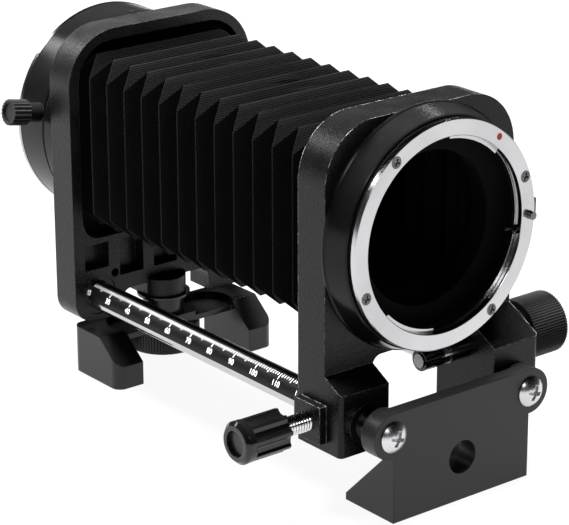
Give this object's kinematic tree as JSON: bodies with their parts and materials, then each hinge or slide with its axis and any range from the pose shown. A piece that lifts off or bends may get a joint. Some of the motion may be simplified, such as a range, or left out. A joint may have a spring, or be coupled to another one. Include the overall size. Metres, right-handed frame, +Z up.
{
  "type": "macro bellows unit",
  "caption": "Macro extension bellows: a folding black bellows between a lens standard that racks along twin rails and a camera mount that turns, with a tripod block.",
  "frame": {"origin": "mouth of the tripod socket, on its axis, 3 mm above the surface the unit stands on", "axes": "+X to the right seen from the lens side, +Y from the lens mount to the camera mount along the rails, +Z up"},
  "size_m": [0.1067, 0.171, 0.1072],
  "materials": {
    "cast_black": "satin crackle finish over a cast surface",
    "satin_black": "satin black anodised",
    "matte_black": "matt flocked black",
    "gloss_black": "glossy moulded black",
    "chrome": "polished",
    "bright_steel": "bright turned",
    "dark_steel": "zinc plated",
    "brass": "plain",
    "red_paint": "gloss enamel",
    "cloth": "fine woven, matt"
  },
  "bodies": {
    "frame": {"rear_standard": "cast_black", "left_rail": "chrome", "right_rail": "chrome", "scale_band": "satin_black", "nose_plate": "cast_black", "nose_screws": "chrome", "rail_grub_screws": "dark_steel", "bellows": "cloth", "bellows_rear_frame": "matte_black", "camera_ring": "satin_black", "retaining_ring": "dark_steel", "tripod_block": "cast_black", "swivel_washer": "gloss_black", "tripod_stud": "bright_steel"},
    "front_carriage": {"front_standard": "cast_black", "rail_bushes": "matte_black", "bellows_front_frame": "matte_black", "mount_barrel": "satin_black", "throat_baffle": "matte_black", "lens_ring": "chrome", "lens_ring_screws": "bright_steel", "index_dot": "red_paint", "stop_pin": "satin_black", "release_spring": "dark_steel", "lock_pad": "brass"},
    "drive": {"drive_shaft": "bright_steel", "drive_knob": "satin_black", "shaft_washer": "chrome", "shaft_nut": "gloss_black"},
    "front_lock": {"lock_stud": "chrome", "lock_knob": "gloss_black", "lock_knob_cap": "satin_black"},
    "camera_mount": {"camera_barrel": "satin_black", "camera_bayonet": "chrome", "camera_bayonet_screws": "bright_steel"},
    "mount_lock": {"turn_lock_knob": "satin_black", "turn_lock_screw": "bright_steel"},
    "lens_release": {"release_pin": "chrome", "release_lever": "satin_black"},
    "clamp_wheel": {"clamp_wheel": "satin_black"}
  },
  "joints": [
    {"name": "front_slide", "type": "slide", "parent": "frame", "child": "front_carriage", "axis": [0, 1, 0], "range_m": [0, 0.07], "deforming": ["bellows"]},
    {"name": "drive_spin", "type": "hinge", "parent": "front_carriage", "child": "drive", "pos_m": [0.0245, -0.118, 0.03145], "axis": [1, 0, 0], "range_deg": [-670, 1]},
    {"name": "front_lock_turn", "type": "hinge", "parent": "front_carriage", "child": "front_lock", "pos_m": [-0.0445, -0.1135, 0.022], "axis": [1, 0, 0], "range_deg": [-720, 0]},
    {"name": "camera_mount_rotate", "type": "hinge", "parent": "frame", "child": "camera_mount", "pos_m": [0, 0.02, 0.07], "axis": [0, 1, 0], "continuous": true},
    {"name": "mount_lock_turn", "type": "hinge", "parent": "camera_mount", "child": "mount_lock", "pos_m": [-0.0344, 0.0175, 0.0764], "axis": [-0.9833, 0, 0.1822], "range_deg": [0, 720]},
    {"name": "lens_release_slide", "type": "slide", "parent": "front_carriage", "child": "lens_release", "axis": [0, 1, 0], "range_m": [0, 0.0017], "stiffness_N_per_m": 300, "springref_m": -0.002, "deforming": ["release_spring"]},
    {"name": "clamp_wheel_turn", "type": "hinge", "parent": "frame", "child": "clamp_wheel", "pos_m": [0, 0, 0.004], "axis": [0, 0, 1], "range_deg": [-720, 720]}
  ],
  "couplings": [
    {"joint": "drive_spin", "follows": "front_slide", "rad_per_m": -166.67}
  ]
}
